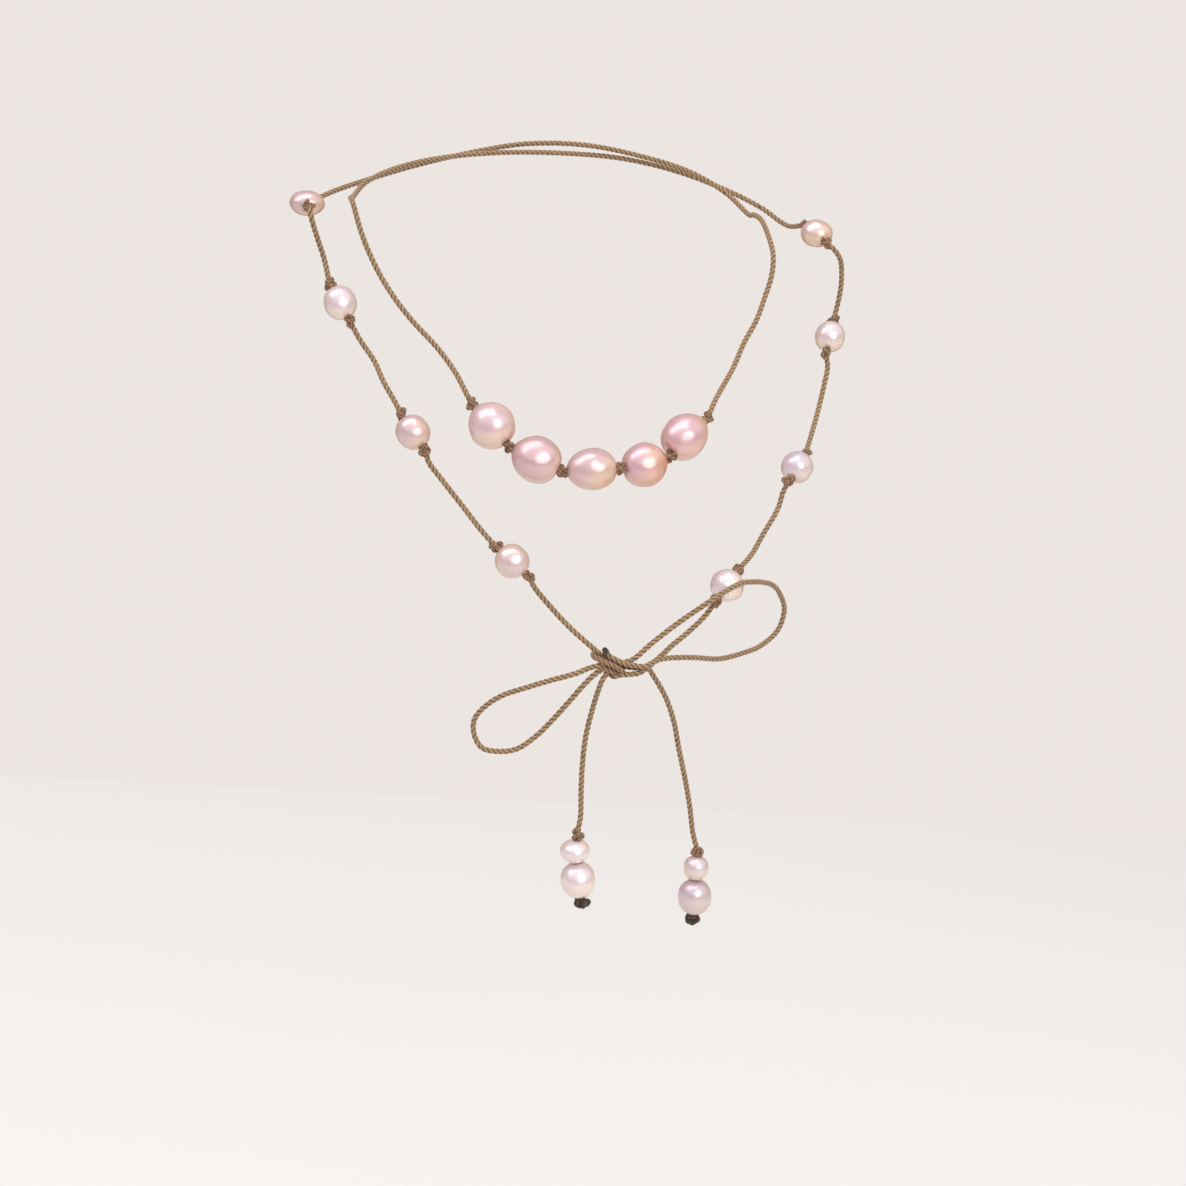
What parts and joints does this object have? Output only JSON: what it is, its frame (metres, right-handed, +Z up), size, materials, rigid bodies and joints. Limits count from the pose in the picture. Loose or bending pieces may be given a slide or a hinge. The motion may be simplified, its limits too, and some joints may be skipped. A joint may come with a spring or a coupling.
{
  "type": "pearl necklace",
  "caption": "Knotted cord lariat necklace worn in two rounds: large pearls on a short strand, station pearls on a long strand tied in a bow with pearl tails.",
  "frame": {"origin": "the middle of the neck at shoulder height, where the neck goes through the necklace", "axes": "+Z up along the neck, -Y the wearer's front, +X to the right as seen from the front"},
  "size_m": [0.1181, 0.0841, 0.152],
  "materials": {
    "cord": "waxed twisted cord, khaki brown with lighter and darker flecks",
    "knot": "the same cord pulled tight, slightly darker",
    "melted_end": "melted cord, near-black brown with a dull shine",
    "pearl_front_1": "lustrous nacre with a soft overtone",
    "pearl_front_2": "lustrous nacre with a soft overtone",
    "pearl_front_3": "lustrous nacre with a soft overtone",
    "pearl_front_4": "lustrous nacre with a soft overtone",
    "pearl_front_5": "lustrous nacre with a soft overtone",
    "pearl_left_1": "lustrous nacre with a soft overtone",
    "pearl_left_2": "lustrous nacre with a soft overtone",
    "pearl_left_3": "lustrous nacre with a soft overtone",
    "pearl_left_4": "lustrous nacre with a soft overtone",
    "pearl_right_1": "lustrous nacre with a soft overtone",
    "pearl_right_2": "lustrous nacre with a soft overtone",
    "pearl_right_3": "lustrous nacre with a soft overtone",
    "pearl_right_4": "lustrous nacre with a soft overtone",
    "pearl_tail_left_small": "lustrous nacre with a soft overtone",
    "pearl_tail_left_large": "lustrous nacre with a soft overtone",
    "pearl_tail_right_small": "lustrous nacre with a soft overtone",
    "pearl_tail_right_large": "lustrous nacre with a soft overtone"
  },
  "bodies": {
    "nape": {"nape_cord_under": "cord", "nape_cord_over": "cord"},
    "front_strand": {"front_cord": "cord", "knot_front_1": "knot", "knot_front_2": "knot", "knot_front_3": "knot", "knot_front_4": "knot", "knot_front_5": "knot", "knot_front_6": "knot"},
    "long_strand": {"long_cord_left": "cord", "long_cord_right": "cord", "bow_knot": "knot", "knot_left_1": "knot", "knot_left_2": "knot", "knot_left_3": "knot", "knot_left_4": "knot", "knot_left_5": "knot", "knot_left_6": "knot", "knot_left_7": "knot", "knot_left_8": "knot", "knot_right_1": "knot", "knot_right_2": "knot", "knot_right_3": "knot", "knot_right_4": "knot", "knot_right_5": "knot", "knot_right_6": "knot", "knot_right_7": "knot", "knot_right_8": "knot"},
    "bow_loop_left": {"bow_loop_left": "cord"},
    "bow_tail_left": {"bow_tail_left": "cord", "knot_tail_left_top": "knot", "knot_tail_left_end": "melted_end"},
    "bow_loop_right": {"bow_loop_right": "cord"},
    "bow_tail_right": {"bow_tail_right": "cord", "knot_tail_right_top": "knot", "knot_tail_right_end": "melted_end"},
    "pearl_front_1": {"pearl_front_1": "pearl_front_1"},
    "pearl_front_2": {"pearl_front_2": "pearl_front_2"},
    "pearl_front_3": {"pearl_front_3": "pearl_front_3"},
    "pearl_front_4": {"pearl_front_4": "pearl_front_4"},
    "pearl_front_5": {"pearl_front_5": "pearl_front_5"},
    "pearl_left_1": {"pearl_left_1": "pearl_left_1"},
    "pearl_left_2": {"pearl_left_2": "pearl_left_2"},
    "pearl_left_3": {"pearl_left_3": "pearl_left_3"},
    "pearl_left_4": {"pearl_left_4": "pearl_left_4"},
    "pearl_right_1": {"pearl_right_1": "pearl_right_1"},
    "pearl_right_2": {"pearl_right_2": "pearl_right_2"},
    "pearl_right_3": {"pearl_right_3": "pearl_right_3"},
    "pearl_right_4": {"pearl_right_4": "pearl_right_4"},
    "pearl_tail_left_small": {"pearl_tail_left_small": "pearl_tail_left_small"},
    "pearl_tail_left_large": {"pearl_tail_left_large": "pearl_tail_left_large"},
    "pearl_tail_right_small": {"pearl_tail_right_small": "pearl_tail_right_small"},
    "pearl_tail_right_large": {"pearl_tail_right_large": "pearl_tail_right_large"}
  },
  "joints": [
    {"name": "bow_loop_left_swing", "type": "hinge", "parent": "long_strand", "child": "bow_loop_left", "pos_m": [-0.0045, -0.0435, -0.0825], "axis": [0, -1, 0], "range_deg": [-12, 8]},
    {"name": "bow_loop_right_swing", "type": "hinge", "parent": "long_strand", "child": "bow_loop_right", "pos_m": [0, -0.0455, -0.081], "axis": [0, -1, 0], "range_deg": [-10, 10]},
    {"name": "bow_tail_left_swing", "type": "hinge", "parent": "long_strand", "child": "bow_tail_left", "pos_m": [-0.0025, -0.043, -0.0835], "axis": [0, -1, 0], "range_deg": [-12, 10]},
    {"name": "bow_tail_right_swing", "type": "hinge", "parent": "long_strand", "child": "bow_tail_right", "pos_m": [0.001, -0.042, -0.082], "axis": [0, -1, 0], "range_deg": [-10, 12]},
    {"name": "front_strand_lift", "type": "hinge", "parent": "nape", "child": "front_strand", "pos_m": [-0.0485, 0.01, 0.001], "axis": [-1, 0, 0], "range_deg": [0, 70]},
    {"name": "long_strand_lift", "type": "hinge", "parent": "nape", "child": "long_strand", "pos_m": [-0.0575, 0.014, -0.0015], "axis": [-1, 0, 0], "range_deg": [0, 70]},
    {"name": "pearl_front_1_spin", "type": "hinge", "parent": "front_strand", "child": "pearl_front_1", "pos_m": [-0.02575, -0.02875, -0.037], "axis": [0.5897, -0.499, -0.6351], "continuous": true},
    {"name": "pearl_front_2_spin", "type": "hinge", "parent": "front_strand", "child": "pearl_front_2", "pos_m": [-0.0175, -0.0335, -0.0425], "axis": [0.8704, -0.3482, -0.3482], "continuous": true},
    {"name": "pearl_front_3_spin", "type": "hinge", "parent": "front_strand", "child": "pearl_front_3", "pos_m": [-0.00675, -0.036, -0.044], "axis": [0.9925, -0.0863, 0.0863], "continuous": true},
    {"name": "pearl_front_4_spin", "type": "hinge", "parent": "front_strand", "child": "pearl_front_4", "pos_m": [0.00425, -0.03575, -0.0425], "axis": [0.9728, 0.139, 0.1853], "continuous": true},
    {"name": "pearl_front_5_spin", "type": "hinge", "parent": "front_strand", "child": "pearl_front_5", "pos_m": [0.01375, -0.03275, -0.038], "axis": [0.7146, 0.3783, 0.5885], "continuous": true},
    {"name": "pearl_left_1_spin", "type": "hinge", "parent": "long_strand", "child": "pearl_left_1", "pos_m": [-0.05825, 0.00525, -0.00025], "axis": [-0.0586, -0.9966, 0.0586], "continuous": true},
    {"name": "pearl_left_2_spin", "type": "hinge", "parent": "long_strand", "child": "pearl_left_2", "pos_m": [-0.05225, -0.00375, -0.01825], "axis": [0.4048, -0.5205, -0.7518], "continuous": true},
    {"name": "pearl_left_3_spin", "type": "hinge", "parent": "long_strand", "child": "pearl_left_3", "pos_m": [-0.0395, -0.021, -0.0405], "axis": [0.4558, -0.5698, -0.6838], "continuous": true},
    {"name": "pearl_left_4_spin", "type": "hinge", "parent": "long_strand", "child": "pearl_left_4", "pos_m": [-0.0215, -0.03625, -0.0625], "axis": [0.701, -0.4089, -0.5842], "continuous": true},
    {"name": "pearl_right_1_spin", "type": "hinge", "parent": "long_strand", "child": "pearl_right_1", "pos_m": [0.05, 0.0025, -0.00175], "axis": [0.2321, -0.9284, -0.2901], "continuous": true},
    {"name": "pearl_right_2_spin", "type": "hinge", "parent": "long_strand", "child": "pearl_right_2", "pos_m": [0.053, -0.004, -0.0225], "axis": [-0.3586, -0.5976, -0.7171], "continuous": true},
    {"name": "pearl_right_3_spin", "type": "hinge", "parent": "long_strand", "child": "pearl_right_3", "pos_m": [0.0415, -0.022, -0.04675], "axis": [-0.5965, -0.5965, -0.5369], "continuous": true},
    {"name": "pearl_right_4_spin", "type": "hinge", "parent": "long_strand", "child": "pearl_right_4", "pos_m": [0.02325, -0.03675, -0.06775], "axis": [-0.6448, -0.4103, -0.6448], "continuous": true},
    {"name": "pearl_tail_left_small_spin", "type": "hinge", "parent": "bow_tail_left", "child": "pearl_tail_left_small", "pos_m": [-0.00625, -0.04725, -0.124], "axis": [0.1059, -0.1059, -0.9887], "continuous": true},
    {"name": "pearl_tail_left_large_spin", "type": "hinge", "parent": "bow_tail_left", "child": "pearl_tail_left_large", "pos_m": [-0.00625, -0.04725, -0.124], "axis": [0.1059, -0.1059, -0.9887], "continuous": true},
    {"name": "pearl_tail_right_small_spin", "type": "hinge", "parent": "bow_tail_right", "child": "pearl_tail_right_small", "pos_m": [0.0195, -0.045, -0.13025], "axis": [0, -0.0688, -0.9976], "continuous": true},
    {"name": "pearl_tail_right_large_spin", "type": "hinge", "parent": "bow_tail_right", "child": "pearl_tail_right_large", "pos_m": [0.0195, -0.045, -0.13025], "axis": [0, -0.0688, -0.9976], "continuous": true}
  ]
}
